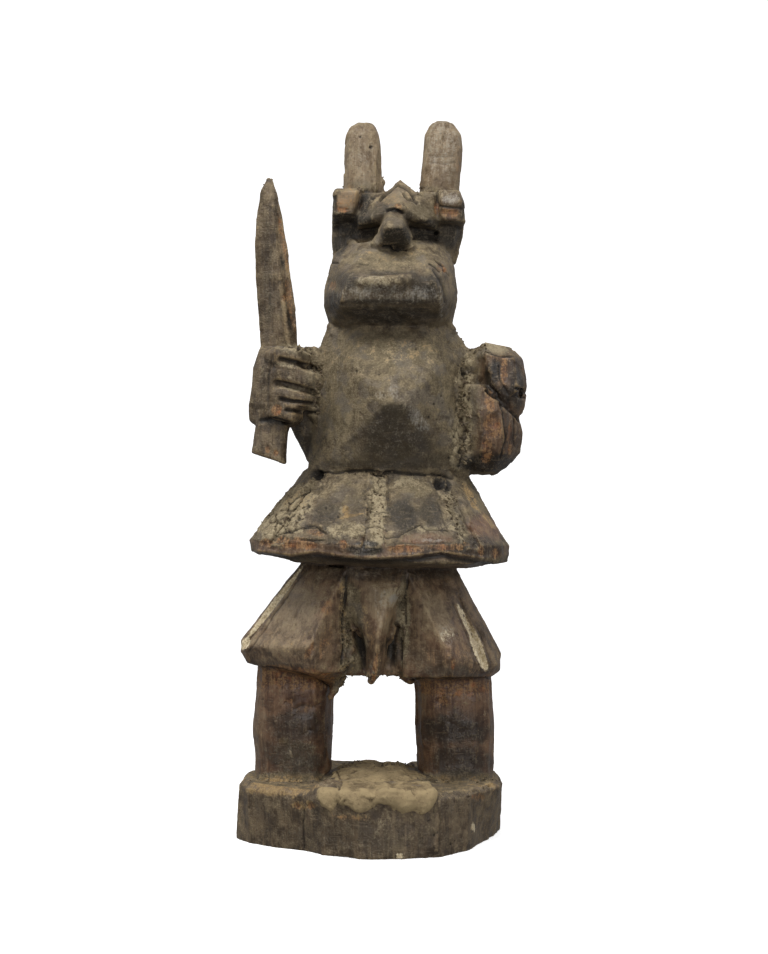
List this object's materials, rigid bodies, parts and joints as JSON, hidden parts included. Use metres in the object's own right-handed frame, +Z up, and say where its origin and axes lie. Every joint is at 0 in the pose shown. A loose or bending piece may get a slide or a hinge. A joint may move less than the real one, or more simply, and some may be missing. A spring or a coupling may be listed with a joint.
{
  "type": "ikenga figure",
  "caption": "Carved wooden ikenga figure: horned head, raised knife, trophy head in the left hand, flared skirt and breeches, stout legs on a round base.",
  "frame": {"origin": "centre of the round base, on the plane of its underside", "axes": "+Z up through the horns; the figure faces -Y; the hand with the knife is on the -X side and the trophy head on the +X side"},
  "size_m": [0.2015, 0.177, 0.5],
  "materials": {
    "crusted_wood": "old dark umber hardwood with an uneven dull crust of offerings, dark glossy handled spots, bare red-brown wood where edges are worn, and white clay left in the grooves"
  },
  "bodies": {
    "root": {"ikenga_figure": "crusted_wood"}
  },
  "joints": []
}
